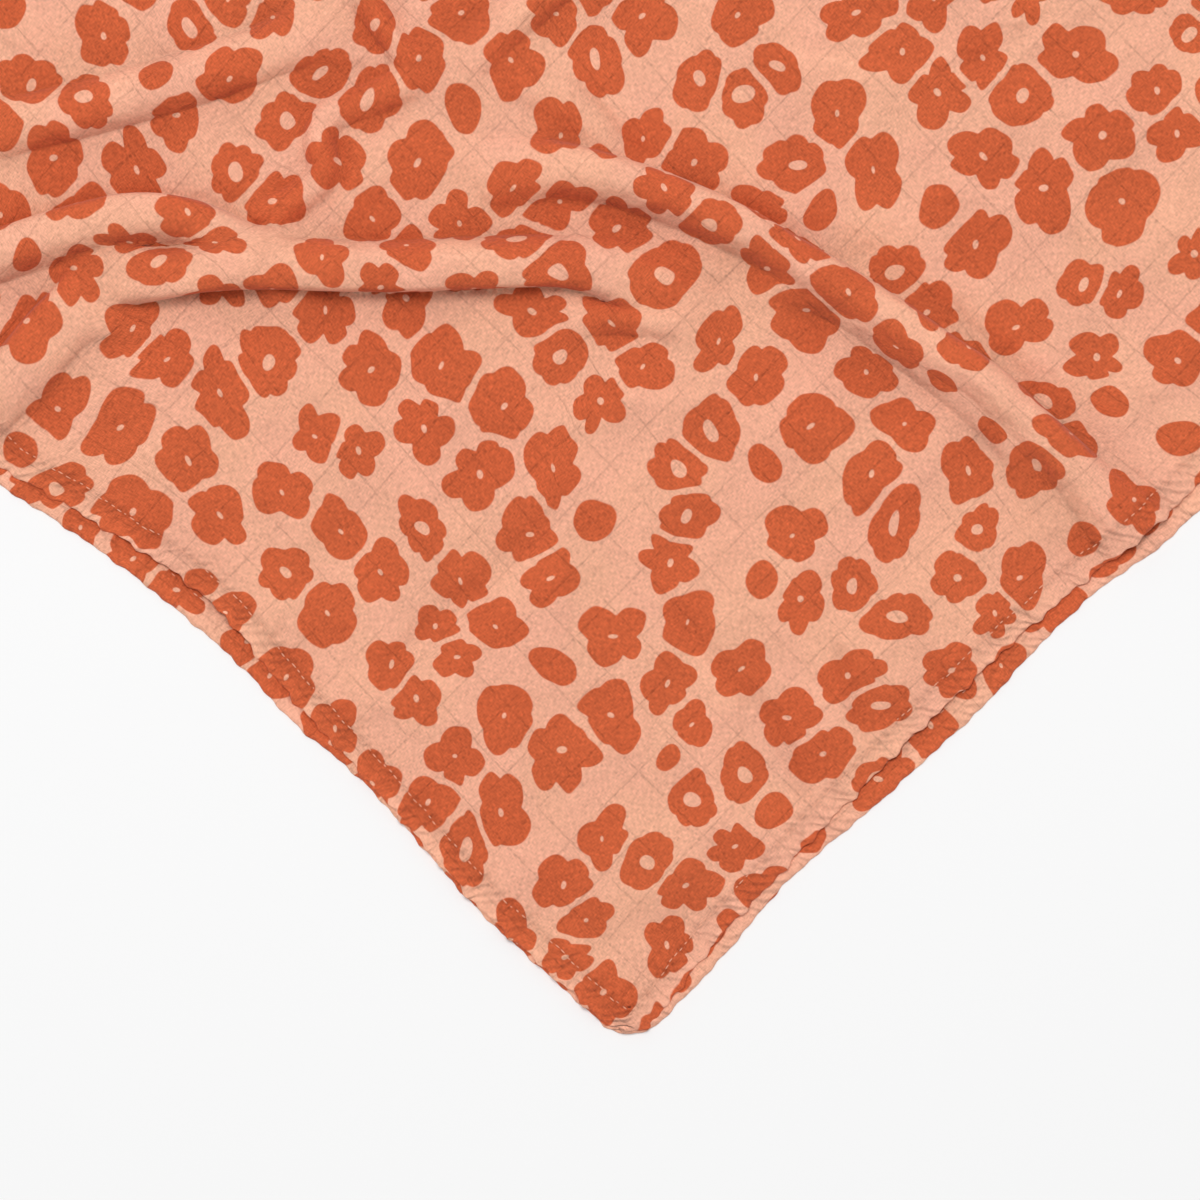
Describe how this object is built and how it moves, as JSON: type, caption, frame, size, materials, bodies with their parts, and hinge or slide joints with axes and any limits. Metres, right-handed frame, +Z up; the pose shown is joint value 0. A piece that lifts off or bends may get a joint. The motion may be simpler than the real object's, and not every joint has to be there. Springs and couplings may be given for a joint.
{
  "type": "swaddle blanket",
  "caption": "Thin hemmed muslin square, folded in half and laid down, with soft rolls and pleats across its upper layer.",
  "frame": {"origin": "on the resting surface, under the middle of the folded blanket's outermost reach", "axes": "+X along the folded blanket; +Y across it, from its free hems towards the back fold; +Z up"},
  "size_m": [1.2, 0.6, 0.0164],
  "materials": {
    "muslin": "matt cotton double gauze, peach, with rust flowers printed all over"
  },
  "bodies": {
    "root": {"blanket": "muslin"}
  },
  "joints": []
}
